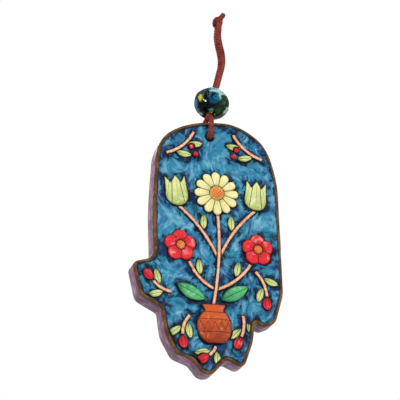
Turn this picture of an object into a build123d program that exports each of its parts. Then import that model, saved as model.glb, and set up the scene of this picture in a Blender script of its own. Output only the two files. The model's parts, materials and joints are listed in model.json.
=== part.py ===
from build123d import *
import math
import os

os.makedirs("parts", exist_ok=True)

# Hand plaque, hung fingers down and seen from the front: x to the right, z up from the hole's centre
plaque_thickness = 10.0
border_width = 1.7
border_height = 0.6
border_round = 0.5
back_round = 0.9
hole_diameter = 4.0
hole_round = 0.9

# Corners of the palm's arch from the right side over to the left, rounded as far as their runs allow
palm_left = -27.3
palm_right = 30.1
arch_top = 7.3
right_shoulder = [(26.9, -6.3), (22.6, 0.5), (14.7, 5.5)]
left_shoulder = [(-5.0, 6.65), (-14.4, 3.5), (-21.1, -1.0), (-24.5, -8.0)]
arch = [(palm_right, -20.4), *right_shoulder, (8.3, arch_top), *left_shoulder, (palm_left, -32.7)]
arch_rounding = 0.49

# Corners of the thumb and fingers from the left side to the right, each with its rounding
thumb_reach = 9.7
middle_notch_z = -101.5
middle_reach = 9.1
fingers = [
    (-27.5, -58.0, 4.5),
    (palm_left - thumb_reach, -60.4, 2.4),
    (-34.4, -74.9, 4.5),
    (-25.1, -80.2, 1.8),
    (-24.1, -90.8, 14.0),
    (-19.6, -99.7, 3.8),
    (-12.4, -102.6, 2.4),
    (-6.6, middle_notch_z - middle_reach, 4.6),
    (2.2, middle_notch_z, 1.6),
    (9.7, -104.9, 2.8),
    (14.3, -93.2, 14.0),
    (15.7, -84.2, 0.9),
    (19.4, -86.6, 3.5),
    (25.0, -84.5, 4.5),
    (29.2, -71.5, 14.0),
]

# Bead on the doubled cord, its lower mouth a gap above the plaque's top edge
bead_diameter = 16.0
bead_height = 14.0
bead_bore = 5.2
bead_mouth_round = 0.5
bead_lean = 16.7
bead_gap = 5.05
mouth_x = 1.14

# One cord, doubled: a front strand, the loop through the hole, a back strand, a knot and two tails
cord_diameter = 2.4
strand_clearance = 0.1
face_clearance = 0.1
hole_clearance = 0.05
loop_split = 0.6
loop_drop = 2.0
loop_bend = 2.2
over_rim = 1.8
upper_bends = [(9.55, 40.6), (8.05, 52.0)]
knot_x = 8.6
knot_z = 60.0
knot_width = 4.7
knot_height = 3.8
knot_lean = 14.0
tail_length = 5.6
tail_step = 0.7
tail_lean = 33.5
hang_drop = 2.8
cord_rounding = 0.45

# Applied bouquet, which rises from the vase's lip: a seam stays between its pieces, and a margin
# round the cord's sweep
seam = 0.25
cord_margin = 1.0
swing_limit = 25.0
edge_height = 0.5
bouquet_x = 1.4
stem_width = 1.5
stem_height = 0.9
leaf_length = 7.2
leaf_width = 3.2
leaf_height = 1.0
leaf_spread = 38.0
spray_leaf_shares = (0.35, 0.65)
top_leaf_shares = (0.25, 0.6)
tulip_leaf_share = 0.5
poppy_leaf_share = 0.55
broad_leaf_length = 14.0
broad_leaf_width = 6.2
broad_leaf_height = 1.2
broad_leaf_rise = 28.0
broad_leaf_gap = 2.2
broad_leaf_out = 3.5
bud_length = 6.0
bud_width = 4.2
bud_height = 1.3
daisy_stem_bow = -1.5
branch_bow = 1.8
tulip_fork = 0.48
poppy_fork = 0.16
top_spray_out = 22.0
top_spray_low = -9.5
top_spray_in = 9.0
top_spray_high = 1.6
daisy_rise = 51.0
daisy_petals = 12
daisy_petal_root = 1.65
daisy_petal_length = 8.4
daisy_petal_width = 3.9
daisy_heart = 6.6
daisy_height = 1.3
poppy_out = 17.3
poppy_rise = 26.0
poppy_petals = 5
poppy_petal_width = 6.9
poppy_petal_reach = 3.7
poppy_heart = 4.0
poppy_height = 1.4
heart_height = 0.8
tulip_out = 17.2
tulip_rise = 44.0
tulip_lean = 6.0
tulip_width = 10.0
tulip_height = 14.0
tulip_base_inset = 0.9
tulip_base_z = 2.2
tulip_shoulder_z = 6.0
tulip_tip_inset = 0.5
tulip_tooth = 3.2
tulip_thickness = 1.4
vase_x = -2.5
vase_gap = 1.0
vase_height = 17.0
vase_belly = 15.5
vase_neck = 8.0
vase_neck_drop = 2.7
vase_lip = 10.5
vase_foot = 7.0
vase_thickness = 1.8
berry_diameter = 2.6
berry_height = 1.3
berry_out = 8.6
berry_rise = 18.0
berry_step = 3.4

# Sprays in the thumb and the fingers: where the stem starts and ends, and how far it bows to its left
sprays = {
    "thumb": ((-20.5, -73.0), (-28.5, -68.5), 1.0),
    "index": ((-13.0, -83.0), (-16.5, -91.5), -1.0),
    "middle": ((-2.5, -96.0), (-5.5, -100.0), 0.5),
    "ring": ((10.3, -82.0), (9.0, -91.5), 0.8),
    "pinky": ((17.0, -62.0), (21.5, -73.0), 1.2),
}

# Values that follow from the sizes above
half_thickness = plaque_thickness / 2
ground = half_thickness - border_height
cord_radius = cord_diameter / 2
strand_y = half_thickness + cord_radius + face_clearance
pair_y = cord_radius + strand_clearance / 2
strand_z = hole_diameter / 2 - cord_radius - hole_clearance
lean = math.radians(bead_lean)
bore_axis = Vector(math.sin(lean), 0, math.cos(lean))
bore_half = bead_height / 2 * math.sqrt(1 - (bead_bore / bead_diameter) ** 2)
low_mouth = Vector(mouth_x, 0, arch_top + bead_gap)
bead_centre = low_mouth + bore_axis * bore_half
knot_centre = Vector(knot_x, 0, knot_z)
knot_turn = knot_height / 2 - cord_radius
last_bend = Vector(upper_bends[-1][0], 0, upper_bends[-1][1])
into_knot = (knot_centre - last_bend).normalized()
hang_point = knot_centre - into_knot * hang_drop
face_of_ground = Plane.XZ.offset(ground)
vase_foot_z = sprays["middle"][0][1] + vase_gap
vase_top_z = vase_foot_z + vase_height
daisy_z = vase_top_z + daisy_rise
poppy_z = vase_top_z + poppy_rise
tulip_z = vase_top_z + tulip_rise
berry_z = daisy_z + berry_rise
crown_length = 4 * (palm_right - palm_left)
upright = 90

nodes = {}


def widest_radii(points, share):
    radii = []
    for before, at, after in zip(points, points[1:], points[2:]):
        turn = math.radians((at - before).get_angle(after - at))
        run = min((at - before).length, (after - at).length)
        radii.append(share * run / math.tan(turn / 2))
    return radii


def hand_outline():
    corners = [(x, z) for x, z, _ in fingers]
    over_arch = [Vector(*p) for p in (corners[-1], *arch, corners[0])]
    radii = widest_radii(over_arch, arch_rounding) + [r for _, _, r in fingers]
    return make_face(FilletPolyline(*arch, *corners, radius=radii, close=True).edges())


def mouth_edges(solid, diameter):
    circles = solid.edges().filter_by(GeomType.CIRCLE)
    return circles.filter_by(lambda edge: edge.is_closed and abs(edge.radius - diameter / 2) < 1e-4)


def make_plaque(outline, field):
    slab = extrude(Plane.XZ.offset(-half_thickness) * outline, plaque_thickness)
    slab = fillet(slab.faces().sort_by(Axis.Y)[-1].edges(), back_round)
    slab = fillet(slab.faces().sort_by(Axis.Y)[0].edges(), border_round)
    slab -= extrude(face_of_ground * field, plaque_thickness)
    slab -= Rot(90, 0, 0) * Cylinder(hole_diameter / 2, 2 * plaque_thickness)
    return fillet(mouth_edges(slab, hole_diameter), hole_round)


def make_bead():
    section = Ellipse(bead_diameter / 2, bead_height / 2)
    section -= Pos(bead_bore / 2 - bead_diameter, 0) * Rectangle(2 * bead_diameter, 2 * bead_height)
    bead = revolve(Plane.XZ * section, Axis.Z)
    bead = fillet(mouth_edges(bead, bead_bore), bead_mouth_round)
    return Pos(bead_centre) * Rot(0, bead_lean, 0) * bead


def tube(name, points, radii):
    path = FilletPolyline(*points, radius=radii)
    solid = sweep(Plane(path @ 0, z_dir=path % 0) * Circle(cord_radius), path)
    true_volume = math.pi * cord_radius**2 * path.length
    bends = ", ".join(f"{r:.1f}" for r in radii)
    print(f"{name}: length {path.length:.1f}, bend radii {bends}")
    print(f"{name}: volume {solid.volume / true_volume:.4f} of true")
    return solid


def make_cord_loop():
    # The loop lies tight round the rim and the hole's edge, so each bend is about the cord's own width
    end = low_mouth - bore_axis * (loop_split / 2)
    spread = end - bore_axis * loop_drop
    rim_z = arch_top + over_rim
    rim_x = spread.X * (rim_z - strand_z) / (spread.Z - strand_z)
    front = [
        Vector(end.X, -pair_y, end.Z),
        Vector(spread.X, -pair_y, spread.Z),
        Vector(rim_x, -strand_y, rim_z),
        Vector(0, -strand_y, strand_z),
    ]
    points = front + [Vector(p.X, -p.Y, p.Z) for p in reversed(front)]
    return tube("cord_loop", points, [loop_bend for _ in points[1:-1]])


def make_strand(name, side, knot):
    start = low_mouth + bore_axis * (loop_split / 2)
    middle = [start] + [Vector(x, 0, z) for x, z in upper_bends] + [knot_centre - into_knot * knot_turn]
    points = [p + Vector(0, side * pair_y, 0) for p in middle]
    return tube(name, points, widest_radii(points, cord_rounding)) - knot


def make_knot():
    # Two turns of the cord lie on each other round a core
    turn_x = knot_width / 2 - cord_radius
    section = Pos(turn_x / 2, 0) * Rectangle(turn_x, knot_height)
    section += Pos(turn_x, knot_turn) * Circle(cord_radius) + Pos(turn_x, -knot_turn) * Circle(cord_radius)
    section -= Pos(-knot_width, 0) * Rectangle(2 * knot_width, 2 * knot_height)
    return Pos(knot_centre) * Rot(0, knot_lean, 0) * revolve(Plane.XZ * section, Axis.Z)


def make_tail(side, length, knot):
    tail = Pos(0, side * pair_y, knot_turn) * Cylinder(
        cord_radius, length - knot_turn, align=(Align.CENTER, Align.CENTER, Align.MIN)
    )
    return Pos(knot_centre) * Rot(0, tail_lean, 0) * tail - knot


def boxes_meet(one, other):
    a = one.bounding_box()
    b = other.bounding_box()
    return a.min.X < b.max.X and b.min.X < a.max.X and a.min.Y < b.max.Y and b.min.Y < a.max.Y


def seat(face):
    # A piece lies inside the border and keeps its seam from the pieces that lie there already
    piece = face & free_field
    for other in taken:
        if boxes_meet(piece, other):
            piece = piece - other
    piece = max(piece.faces(), key=lambda f: f.area)
    taken.append(offset(piece, seam))
    return piece


def crown_depth(span, height):
    rise = height - edge_height
    return ((span / 2) ** 2 + rise**2) / (2 * rise)


def domed(face, at, span, height):
    radius = crown_depth(span, height)
    top = Pos(face_of_ground.from_local_coords((at[0], at[1], height - radius)))
    return extrude(face_of_ground * face, height) & top * Sphere(radius)


def ridged(face, at, angle, span, height):
    radius = crown_depth(span, height)
    turn = math.radians(angle)
    origin = face_of_ground.from_local_coords((at[0], at[1], height - radius))
    along = Plane(origin, z_dir=(math.cos(turn), 0, math.sin(turn)))
    return extrude(face_of_ground * face, height) & along * Cylinder(radius, crown_length)


def leaf(name, base, angle, length, width, height):
    tip = (length, 0)
    upper = ThreePointArc((0, 0), (length / 2, width / 2), tip)
    lower = ThreePointArc(tip, (length / 2, -width / 2), (0, 0))
    blade = Pos(*base) * Rot(0, 0, angle) * make_face([upper, lower])
    nodes[name] = ridged(seat(blade), base, angle, width, height)


def stem(name, start, end, bow):
    # A stem is an arc of even width, which bows to the left of its way by the given height
    chord = Vector(*end) - Vector(*start)
    middle = (Vector(*start) + Vector(*end)) / 2 + Vector(-chord.Y, chord.X).normalized() * bow
    line = ThreePointArc(start, middle, end)
    sides = []
    for half in (stem_width / 2, -stem_width / 2):
        sides.append([line @ t + Vector(-(line % t).Y, (line % t).X) * half for t in (0, 0.5, 1)])
    near, far = sides
    ribbon = make_face(
        [ThreePointArc(*near), Line(near[2], far[2]), ThreePointArc(*reversed(far)), Line(far[0], near[0])]
    )
    nodes[name] = extrude(face_of_ground * seat(ribbon), stem_height)
    return line


def side_leaf(name, line, share, side):
    way = line % share
    heading = math.degrees(math.atan2(way.Y, way.X))
    foot = line @ share + Vector(-way.Y, way.X) * (side * (stem_width / 2 + seam))
    leaf(name, (foot.X, foot.Y), heading + side * leaf_spread, leaf_length, leaf_width, leaf_height)


def end_bud(name, line):
    way = line % 1
    foot = line @ 1 + way * seam
    leaf(name, (foot.X, foot.Y), math.degrees(math.atan2(way.Y, way.X)), bud_length, bud_width, bud_height)


def heart(name, at, diameter, under):
    face = Pos(face_of_ground.offset(under).from_local_coords((at[0], at[1], 0)))
    radius = ((diameter / 2) ** 2 + heart_height**2) / (2 * heart_height)
    button = extrude(Plane.XZ * Circle(diameter / 2), heart_height)
    nodes[name] = face * (button & Pos(0, radius - heart_height, 0) * Sphere(radius))


def petal_ring(petal, at, count):
    ring = [Pos(*at) * Rot(0, 0, upright + 360 * i / count) * petal for i in range(count)]
    return ring[0].fuse(*ring[1:])


def flower(name, at, ring, span, heart_size, height):
    # The petals' crown is cut flat in the middle, where the heart sits
    petals = domed(seat(ring), at, span, height)
    radius = crown_depth(span, height)
    seat_height = height - radius + math.sqrt(radius**2 - (heart_size / 2) ** 2)
    above = face_of_ground.offset(seat_height).from_local_coords((at[0], at[1], 0))
    nodes[name] = petals - Pos(above) * Rot(90, 0, 0) * Cylinder(heart_size / 2, 2 * (height - seat_height))
    heart(name + "_heart", at, heart_size, seat_height)


def make_daisy():
    at = (bouquet_x, daisy_z)
    petal = SlotOverall(daisy_petal_length, daisy_petal_width)
    petal = Pos(daisy_petal_root + daisy_petal_length / 2, 0) * petal
    span = 2 * daisy_petal_length + daisy_heart
    ring = petal_ring(petal, at, daisy_petals) + Pos(*at) * Circle(daisy_heart / 2)
    flower("daisy", at, ring, span, daisy_heart, daisy_height)


def make_poppy(name, side):
    at = (bouquet_x + side * poppy_out, poppy_z)
    petal = Pos(poppy_petal_reach, 0) * Circle(poppy_petal_width / 2)
    ring = petal_ring(petal, at, poppy_petals)
    flower(name, at, ring, 2 * poppy_petal_reach + poppy_petal_width, poppy_heart, poppy_height)


def make_tulip(name, side):
    half = tulip_width / 2
    tip = half - tulip_tip_inset
    notch_z = tulip_height - tulip_tooth
    right = [(0, 0), (half - tulip_base_inset, tulip_base_z), (half, tulip_shoulder_z)]
    left = [(-x, z) for x, z in reversed(right)]
    tooth = [(tip, tulip_height), (tip / 2, notch_z)]
    teeth = [*tooth, (0, tulip_height), *((-x, z) for x, z in reversed(tooth))]
    crown = Polyline(right[-1], *teeth, left[0])
    cup = make_face([ThreePointArc(*right), *crown.edges(), ThreePointArc(*left)])
    at = (bouquet_x + side * tulip_out, tulip_z)
    turn = -side * tulip_lean
    cup = Pos(*at) * Rot(0, 0, turn) * cup
    nodes[name] = ridged(seat(cup), at, upright + turn, tulip_width, tulip_thickness)


def make_vase():
    neck_z = vase_top_z - vase_neck_drop
    belly_z = (vase_foot_z + neck_z) / 2
    widths = [(vase_foot, vase_foot_z), (vase_belly, belly_z), (vase_neck, neck_z)]
    right = [(vase_x + width / 2, z) for width, z in widths]
    left = [(2 * vase_x - x, z) for x, z in reversed(right)]
    right_lip = (vase_x + vase_lip / 2, vase_top_z)
    left_lip = (vase_x - vase_lip / 2, vase_top_z)
    rim = Polyline(right[-1], right_lip, left_lip, left[0])
    base = Line(left[-1], right[0])
    pot = make_face([ThreePointArc(*right), *rim.edges(), ThreePointArc(*left), base])
    nodes["vase"] = ridged(seat(pot), (vase_x, vase_foot_z), upright, vase_belly, vase_thickness)


def make_berries(name, side):
    for i in range(2):
        at = (bouquet_x + side * (berry_out + i * berry_step / 2), berry_z + i * berry_step)
        spot = seat(Pos(*at) * Circle(berry_diameter / 2))
        nodes[f"{name}_{i + 1}"] = domed(spot, at, berry_diameter, berry_height)


def make_bouquet():
    make_daisy()
    make_vase()
    sides = {"left": -1, "right": 1}
    for word, side in sides.items():
        make_poppy(f"poppy_{word}", side)
        make_tulip(f"tulip_{word}", side)
    foot = (vase_x, vase_top_z + seam)
    daisy_stem = stem("stem_daisy", foot, (bouquet_x, daisy_z - daisy_petal_length), daisy_stem_bow)
    for word, side in sides.items():
        leaf_foot = (vase_x + side * broad_leaf_out, vase_top_z + broad_leaf_gap)
        rise = upright - side * (upright - broad_leaf_rise)
        leaf(f"broad_leaf_{word}", leaf_foot, rise, broad_leaf_length, broad_leaf_width, broad_leaf_height)
        make_berries(f"berry_{word}", side)
        fork = daisy_stem @ tulip_fork
        tulip_foot = (bouquet_x + side * tulip_out, tulip_z)
        tulip_stem = stem(f"stem_tulip_{word}", (fork.X, fork.Y), tulip_foot, side * branch_bow)
        side_leaf(f"leaf_tulip_{word}", tulip_stem, tulip_leaf_share, side)
        fork = daisy_stem @ poppy_fork
        poppy_foot = (bouquet_x + side * (poppy_out - poppy_petal_reach), poppy_z - poppy_petal_width)
        poppy_stem = stem(f"stem_poppy_{word}", (fork.X, fork.Y), poppy_foot, -side * branch_bow)
        side_leaf(f"leaf_poppy_{word}", poppy_stem, poppy_leaf_share, side)
        top_start = (bouquet_x + side * top_spray_out, top_spray_low)
        top_end = (bouquet_x + side * top_spray_in, top_spray_high)
        top_stem = stem(f"stem_top_{word}", top_start, top_end, side * branch_bow)
        for i, share in enumerate(top_leaf_shares):
            side_leaf(f"leaf_top_{word}_{i + 1}", top_stem, share, side)


def make_sprays():
    for finger, (start, end, bow) in sprays.items():
        line = stem(f"stem_{finger}", start, end, bow)
        end_bud(f"bud_{finger}", line)
        for i, share in enumerate(spray_leaf_shares):
            side_leaf(f"leaf_{finger}_{i + 1}", line, share, 1 - 2 * i)


outline = hand_outline()
field = offset(outline, -border_width)
free_field = offset(field, -seam)

# The cord lies over a wedge of the face as the plaque swings, so no piece lies there
reach = 2 * arch_top
half_way = cord_radius + cord_margin
wide = half_way + reach * math.sin(math.radians(swing_limit))
way = Polyline((-half_way, 0), (half_way, 0), (wide, reach), (-wide, reach), close=True)
taken = [make_face(way.edges()) + Circle(hole_diameter / 2 + hole_round + cord_margin)]

nodes["plaque"] = make_plaque(outline, field)
make_bouquet()
make_sprays()
nodes["bead"] = make_bead()
nodes["cord_loop"] = make_cord_loop()
nodes["top_knot"] = make_knot()
nodes["cord_front"] = make_strand("cord_front", -1, nodes["top_knot"])
nodes["cord_back"] = make_strand("cord_back", 1, nodes["top_knot"])
nodes["tail_front"] = make_tail(-1, tail_length, nodes["top_knot"])
nodes["tail_back"] = make_tail(1, tail_length - tail_step, nodes["top_knot"])

# The origin is where a hook bears, in the fork of the cord just under its knot
for name, shape in nodes.items():
    export_step(Pos(-hang_point) * shape, f"parts/{name}.step")
print(len(nodes), "pieces, hole at", -hang_point)
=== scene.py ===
import bpy
import json
import math
import numpy as np
from mathutils import Matrix, Vector, noise
from mathutils.bvhtree import BVHTree


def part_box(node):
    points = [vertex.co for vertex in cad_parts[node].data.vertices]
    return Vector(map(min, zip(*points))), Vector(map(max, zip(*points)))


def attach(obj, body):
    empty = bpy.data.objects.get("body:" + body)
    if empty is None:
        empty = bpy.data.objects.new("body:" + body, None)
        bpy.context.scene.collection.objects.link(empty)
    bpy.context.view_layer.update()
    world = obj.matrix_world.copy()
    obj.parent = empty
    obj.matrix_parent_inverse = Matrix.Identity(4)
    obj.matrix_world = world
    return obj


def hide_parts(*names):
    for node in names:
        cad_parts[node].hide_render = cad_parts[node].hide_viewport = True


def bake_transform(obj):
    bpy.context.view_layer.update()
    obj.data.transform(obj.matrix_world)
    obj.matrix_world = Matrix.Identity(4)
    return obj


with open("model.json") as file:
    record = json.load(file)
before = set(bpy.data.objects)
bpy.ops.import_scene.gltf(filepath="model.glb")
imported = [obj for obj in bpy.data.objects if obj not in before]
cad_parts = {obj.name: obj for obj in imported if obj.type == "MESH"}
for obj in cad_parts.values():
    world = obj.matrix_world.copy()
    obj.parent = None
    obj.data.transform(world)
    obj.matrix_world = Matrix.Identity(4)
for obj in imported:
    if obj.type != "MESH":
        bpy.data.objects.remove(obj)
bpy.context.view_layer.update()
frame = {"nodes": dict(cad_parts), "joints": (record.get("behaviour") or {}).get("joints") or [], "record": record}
nodes = frame["nodes"]
joints = {joint["name"]: joint for joint in frame["joints"]}
mm = 0.001
mergeGap = 0.001 * mm  # points of a CAD mesh closer than this are one

# where the photo was taken from, with the width of its view
cameraLook = {
    "azimuth": -18.0, "elevation": -22.3, "roll": -2.76, "distance": 0.7, "across": 0.17341,
    "target": (-0.01298, 0, -0.08565), "sensor": 36.0, "clipStart": 0.01,
}
# the cord bears in the top of the plaque's hole, a little above its centre
bearing = {"rise": 0.75}
holeCentre = Vector(joints["plaque_swing"]["pos_m"]) - Vector((0, 0, bearing["rise"] * mm))
print("frame loaded,", len(nodes), "nodes")


# Mesh helpers
def setMode(mode):
    bpy.ops.object.mode_set(mode=mode)


def deselectAll():
    if bpy.context.object and bpy.context.object.mode != "OBJECT":
        setMode("OBJECT")
    bpy.ops.object.select_all(action="DESELECT")


def pick(piece):
    deselectAll()
    piece.select_set(True)
    bpy.context.view_layer.objects.active = piece


def editAll(piece):
    pick(piece)
    setMode("EDIT")
    bpy.ops.mesh.select_all(action="SELECT")


def applyModifier(piece, kind, **values):
    pick(piece)
    modifier = piece.modifiers.new(kind.title(), kind)
    for key, value in values.items():
        setattr(modifier, key, value)
    bpy.ops.object.modifier_apply(modifier=modifier.name)


def newObject(name, data):
    holder = bpy.data.objects.new(name, data)
    bpy.context.scene.collection.objects.link(holder)
    return holder


def copyNode(node, name):
    # a CAD node's loose triangles, copied and merged into one skin
    piece = newObject(name, nodes[node].data.copy())
    editAll(piece)
    bpy.ops.mesh.customdata_custom_splitnormals_clear()
    bpy.ops.mesh.remove_doubles(threshold=mergeGap)
    setMode("OBJECT")
    piece.data.materials.clear()
    return piece


def resurface(piece, look):
    # an even skin with softened edges
    applyModifier(piece, "REMESH", mode="VOXEL", voxel_size=look["voxel"] * mm, use_smooth_shade=True)
    applyModifier(piece, "SMOOTH", **look["smooth"])


def readRows(rows, key):
    found = np.zeros(len(rows) * 3, np.float32)
    rows.foreach_get(key, found)
    return found.reshape(-1, 3).astype(float)


def points(piece):
    return readRows(piece.data.vertices, "co")


def normals(piece):
    return readRows(piece.data.vertex_normals, "vector")


def movePoints(piece, places):
    piece.data.vertices.foreach_set("co", places.astype(np.float32).ravel())
    piece.data.update()


def keep(piece, **values):
    for name, value in values.items():
        attribute = piece.data.attributes.new(name, "FLOAT", "POINT")
        attribute.data.foreach_set("value", np.asarray(value, np.float32))


def unit(values):
    return np.clip(values, 0, 1)


def finishPiece(piece, material, body, slot, *replaced):
    piece.data.materials.append(material)
    pick(piece)
    bpy.ops.object.shade_smooth()
    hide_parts(*replaced)
    if body:
        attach(piece, body)


def flatTree(names, wanted):
    # the wanted faces of CAD nodes, pressed flat onto the face of the plaque
    flat, faces = [], []
    for name in names:
        mesh = nodes[name].data
        faces += [tuple(i + len(flat) for i in f.vertices) for f in mesh.polygons if wanted(f, mesh)]
        flat += [Vector((v.co.x, 0, v.co.z)) for v in mesh.vertices]
    return BVHTree.FromPolygons(flat, faces)


def flatGaps(tree, places, furthest):
    gaps = np.full(len(places), furthest)
    for i, (x, _, z) in enumerate(places):
        found = tree.find_nearest(Vector((x, 0, z)), furthest * mm)
        if found[0] is not None:
            gaps[i] = found[3] / mm
    return gaps


def wayTo(turn, rise):
    # a direction from its turn about the upright and its rise, both in degrees, with 0 to the front
    a, e = math.radians(turn), math.radians(rise)
    return Vector((math.sin(a) * math.cos(e), -math.cos(a) * math.cos(e), math.sin(e)))


def photoAxes():
    back = wayTo(cameraLook["azimuth"], cameraLook["elevation"])
    right = (-back).cross(Vector((0, 0, 1))).normalized()
    up = right.cross(-back)
    roll = math.radians(cameraLook["roll"])
    return right * math.cos(roll) + up * math.sin(roll), up * math.cos(roll) - right * math.sin(roll), back


# Shader helpers
def place(tree, kind, **values):
    node = tree.nodes.new(kind)
    for key, value in values.items():
        if hasattr(node, key):
            setattr(node, key, value)
        else:
            node.inputs[key].default_value = value
    return node


def join(tree, source, target):
    tree.links.new(source, target)


def feed(tree, socket, value):
    # a plain value is set on the socket, and another node's output is joined to it
    if isinstance(value, bpy.types.NodeSocket):
        join(tree, value, socket)
    elif socket.type == "RGBA":
        socket.default_value = (*value, 1)
    else:
        socket.default_value = value


def wire(tree, node, values):
    for key, value in values.items():
        feed(tree, node.inputs[key], value)


def math2(tree, operation, first, second, clamp=False):
    node = place(tree, "ShaderNodeMath", operation=operation, use_clamp=clamp)
    for socket, value in zip(node.inputs, (first, second)):
        feed(tree, socket, value)
    return node.outputs[0]


def plus(tree, first, second):
    return math2(tree, "ADD", first, second)


def times(tree, first, second):
    return math2(tree, "MULTIPLY", first, second)


def centred(tree, value, reach):
    # a cloud's value about nought, times a reach
    return times(tree, math2(tree, "SUBTRACT", value, 0.5), reach)


def ramp(tree, value, low, high, first=0.0, last=1.0):
    node = place(tree, "ShaderNodeMapRange", interpolation_type="SMOOTHSTEP")
    wire(tree, node, {"Value": value, "From Min": low, "From Max": high, "To Min": first, "To Max": last})
    return node.outputs["Result"]


def blend(tree, share, first, second):
    # this node's colours are its sockets 6 and 7, and their mix comes out at 2
    node = place(tree, "ShaderNodeMix", data_type="RGBA")
    for socket, value in ((node.inputs[0], share), (node.inputs[6], first), (node.inputs[7], second)):
        feed(tree, socket, value)
    return node.outputs[2]


def stretched(tree, vector, ways):
    node = place(tree, "ShaderNodeMapping", Scale=ways)
    join(tree, vector, node.inputs["Vector"])
    return node.outputs["Vector"]


def cloud(tree, vector, scale, detail=4.0, distortion=0.0, stretch=None, roughness=0.55):
    if stretch:
        vector = stretched(tree, vector, stretch)
    node = place(tree, "ShaderNodeTexNoise", Detail=detail, Roughness=roughness, Distortion=distortion)
    join(tree, vector, node.inputs["Vector"])
    feed(tree, node.inputs["Scale"], scale)
    return node.outputs["Fac"]


def mottle(tree, vector, clouded, ramped):
    return ramp(tree, cloud(tree, vector, *clouded), *ramped)


def swirled(tree, vector, scale, reach):
    # the same place pushed about by a slow noise, so that brush marks change direction
    slow = place(tree, "ShaderNodeTexNoise", Scale=scale, Detail=1.0)
    join(tree, vector, slow.inputs["Vector"])
    push = place(tree, "ShaderNodeVectorMath", operation="MULTIPLY_ADD")
    join(tree, slow.outputs["Color"], push.inputs[0])
    push.inputs[1].default_value = (reach * mm, reach * mm, reach * mm)
    join(tree, vector, push.inputs[2])
    return push.outputs["Vector"]


def stored(tree, name, output="Fac"):
    return place(tree, "ShaderNodeAttribute", attribute_name=name).outputs[output]


def newGroup(name, inputs, outputs):
    # every group also gets a place, and the scale of its clouds
    tree = bpy.data.node_groups.new(name, "ShaderNodeTree")
    kinds = {"value": "NodeSocketFloat", "colour": "NodeSocketColor", "vector": "NodeSocketVector"}
    for label, kind in {"Vector": "vector", "Scale": "value", **inputs}.items():
        tree.interface.new_socket(label, in_out="INPUT", socket_type=kinds[kind])
    for label, kind in outputs.items():
        tree.interface.new_socket(label, in_out="OUTPUT", socket_type=kinds[kind])
    return tree, tree.nodes.new("NodeGroupInput").outputs, tree.nodes.new("NodeGroupOutput").inputs


def useGroup(tree, group, **values):
    node = tree.nodes.new("ShaderNodeGroup")
    node.node_tree = group
    wire(tree, node, values)
    return node.outputs


def srgb(red, green, blue):
    def linear(level):
        level /= 255
        return level / 12.92 if level <= 0.04045 else ((level + 0.055) / 1.055) ** 2.4
    return (linear(red), linear(green), linear(blue))


def newMaterial(name):
    material = bpy.data.materials.new(name)
    material.use_nodes = True
    tree = material.node_tree
    coords = place(tree, "ShaderNodeTexCoord").outputs["Object"]
    return material, tree, tree.nodes["Principled BSDF"], coords


def bump(tree, height, distance, strength):
    node = place(tree, "ShaderNodeBump", Strength=strength, Distance=distance * mm)
    join(tree, height, node.inputs["Height"])
    return node.outputs["Normal"]


# Shared effects. In the settings a cloud is its scale, detail, distortion, stretch and roughness, a ramp is
# the range it reads and what it gives at both ends, and marks are both.
washLook = {
    "patches": (3, 1.2), "patchShare": 0.55, "finer": 4.0, "strokes": (4, 1.4, (1, 1, 0.6), 0.58),
    "strokeShare": 0.45, "deepToMiddle": (0.34, 0.47), "middleToPale": (0.48, 0.64),
}
inkLook = {"colour": srgb(8, 10, 22), "wobble": (3, 0.5), "soft": 0.22}
skinLook = {"waves": (2, 0.3), "pitFiner": 4.0, "pit": (0.05, 0.16), "pitShare": 0.25, "polish": 5.0}


def makeBrushWash():
    # three tones of thin paint, laid in cloudy patches with brush marks in them
    look = washLook
    group, given, made = newGroup(
        "brushWash",
        {"Deep": "colour", "Middle": "colour", "Pale": "colour", "Pool": "value"},
        {"Color": "colour"},
    )
    patches = cloud(group, given["Vector"], given["Scale"], *look["patches"])
    strokes = cloud(group, given["Vector"], times(group, given["Scale"], look["finer"]), *look["strokes"])
    mixed = plus(group, times(group, patches, look["patchShare"]), times(group, strokes, look["strokeShare"]))
    tone = math2(group, "SUBTRACT", mixed, given["Pool"])
    lower = blend(group, ramp(group, tone, *look["deepToMiddle"]), given["Deep"], given["Middle"])
    whole = blend(group, ramp(group, tone, *look["middleToPale"]), lower, given["Pale"])
    join(group, whole, made["Color"])
    return group


def makeHandInk():
    # an ink line of uneven width beside an edge, the gap from the edge given in millimetres
    look = inkLook
    group, given, made = newGroup(
        "handInk",
        {"Gap": "value", "Width": "value", "Uneven": "value", "Share": "value"},
        {"Mask": "value"},
    )
    wobble = centred(group, cloud(group, given["Vector"], given["Scale"], *look["wobble"]), given["Uneven"])
    wide = plus(group, given["Width"], wobble)
    soft = plus(group, wide, look["soft"])
    join(group, ramp(group, given["Gap"], wide, soft, given["Share"], 0.0), made["Mask"])
    return group


def makeGlazeSkin():
    # the small waves and pits of a brushed, fired glaze
    look = skinLook
    group, given, made = newGroup("glazeSkin", {}, {"Height": "value", "Polish": "value"})
    waves = cloud(group, given["Vector"], given["Scale"], *look["waves"])
    pits = place(group, "ShaderNodeTexVoronoi", feature="F1")
    wire(group, pits, {"Vector": given["Vector"], "Scale": times(group, given["Scale"], look["pitFiner"])})
    dots = times(group, ramp(group, pits.outputs["Distance"], *look["pit"]), look["pitShare"])
    join(group, plus(group, waves, dots), made["Height"])
    join(group, cloud(group, given["Vector"], given["Scale"], look["polish"]), made["Polish"])
    return group


brushWash = makeBrushWash()
handInk = makeHandInk()
glazeSkin = makeGlazeSkin()


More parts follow.
